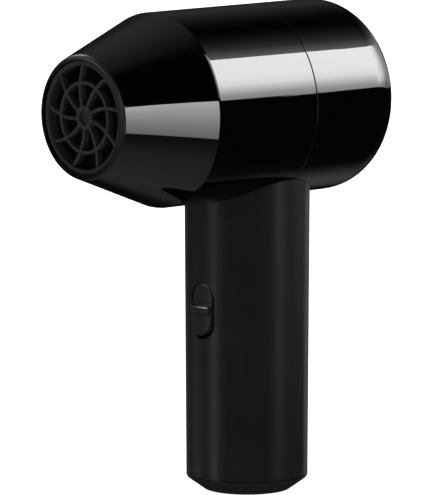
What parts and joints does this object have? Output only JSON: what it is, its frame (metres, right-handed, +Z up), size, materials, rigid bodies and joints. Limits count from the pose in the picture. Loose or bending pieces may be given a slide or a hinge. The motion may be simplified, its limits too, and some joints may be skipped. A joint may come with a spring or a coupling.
{
  "type": "cordless hand air blower",
  "caption": "Cordless hand-held air blower for drying cars: a turbine barrel with a spiral-spoked outlet in a tapered nose, on a round battery handle with a rocker switch.",
  "frame": {"origin": "centre of the flat foot at the bottom of the handle", "axes": "+Z up along the handle, -Y the way the nose blows, +X to the right of someone looking into the nose"},
  "size_m": [0.066, 0.1207, 0.167],
  "materials": {
    "gloss_black_shell": "high gloss moulded black",
    "black_grille": "matte moulded black",
    "filter_mesh": "fine dark mesh",
    "duct_plastic": "matte moulded",
    "isolator_rubber": "soft matte rubber",
    "motor_steel": "satin",
    "motor_cap_alloy": "satin",
    "core_steel": "laminated",
    "winding_copper": "enamelled copper",
    "bearing_steel": "ground steel",
    "magnet": "nickel plated",
    "impeller_plastic": "moulded",
    "wire_red": "insulation",
    "wire_black": "insulation",
    "screw_steel": "plated",
    "satin_black_handle": "satin moulded black",
    "cell_wrap": "shrink sleeve",
    "holder_plastic": "moulded",
    "nickel": "nickel strip",
    "foam": "soft foam",
    "board_green": "solder mask",
    "chip_black": "moulded",
    "capacitor_sleeve": "shrink sleeve",
    "socket_steel": "plated",
    "light_pipe": "frosted clear",
    "satin_black_switch": "satin moulded black",
    "plunger_plastic": "natural nylon",
    "spring_steel": "drawn wire",
    "switch_plastic": "moulded",
    "terminal_brass": "plated"
  },
  "bodies": {
    "casing": {"front_housing": "gloss_black_shell", "rear_housing": "gloss_black_shell", "outlet_grille": "black_grille", "intake_grille": "black_grille", "intake_filter": "filter_mesh", "fan_duct": "duct_plastic", "front_isolator": "isolator_rubber", "rear_isolator": "isolator_rubber", "stator_vanes": "duct_plastic", "tail_cone": "duct_plastic", "motor_can": "motor_steel", "motor_front_cap": "motor_cap_alloy", "motor_rear_cap": "motor_cap_alloy", "stator_core": "core_steel", "stator_windings": "winding_copper", "front_bearing": "bearing_steel", "rear_bearing": "bearing_steel", "motor_wires": "wire_red", "neck_screws": "screw_steel", "handle_shell": "satin_black_handle", "base_cap": "satin_black_handle", "base_screws": "screw_steel", "battery_cell_left": "cell_wrap", "battery_cell_right": "cell_wrap", "cell_holder_lower": "holder_plastic", "cell_holder_upper": "holder_plastic", "cell_link": "nickel", "cell_tabs": "nickel", "holder_pad": "foam", "control_board": "board_green", "power_transistors": "chip_black", "controller_chip": "chip_black", "capacitors": "capacitor_sleeve", "charging_board": "board_green", "charging_socket": "socket_steel", "charging_wires": "wire_black", "charge_light_pipe": "light_pipe", "switch_housing": "switch_plastic", "switch_terminals": "terminal_brass"},
    "fan_rotor": {"motor_shaft": "bearing_steel", "rotor_magnet": "magnet", "impeller": "impeller_plastic", "impeller_nut": "bearing_steel"},
    "rocker": {"rocker_button": "satin_black_switch", "plunger_spring": "spring_steel"},
    "plunger": {"switch_plunger": "plunger_plastic"},
    "contact_lever": {"contact_lever": "terminal_brass"}
  },
  "joints": [
    {"name": "fan_spin", "type": "hinge", "parent": "casing", "child": "fan_rotor", "pos_m": [0, 0, 0.134], "axis": [0, 1, 0], "continuous": true},
    {"name": "rocker_tilt", "type": "hinge", "parent": "casing", "child": "rocker", "pos_m": [0, -0.0165, 0.0635], "axis": [1, 0, 0], "range_deg": [0, 13]},
    {"name": "plunger_slide", "type": "slide", "parent": "rocker", "child": "plunger", "axis": [0, -0.9936, 0.1132], "range_m": [0, 0.00025], "stiffness_N_per_m": 60, "springref_m": -0.001},
    {"name": "contact_lever_tilt", "type": "hinge", "parent": "casing", "child": "contact_lever", "pos_m": [0, -0.011, 0.0635], "axis": [1, 0, 0], "range_deg": [-14.04, 0]}
  ],
  "couplings": [
    {"joint": "contact_lever_tilt", "follows": "rocker_tilt", "ratio": -1.08}
  ]
}
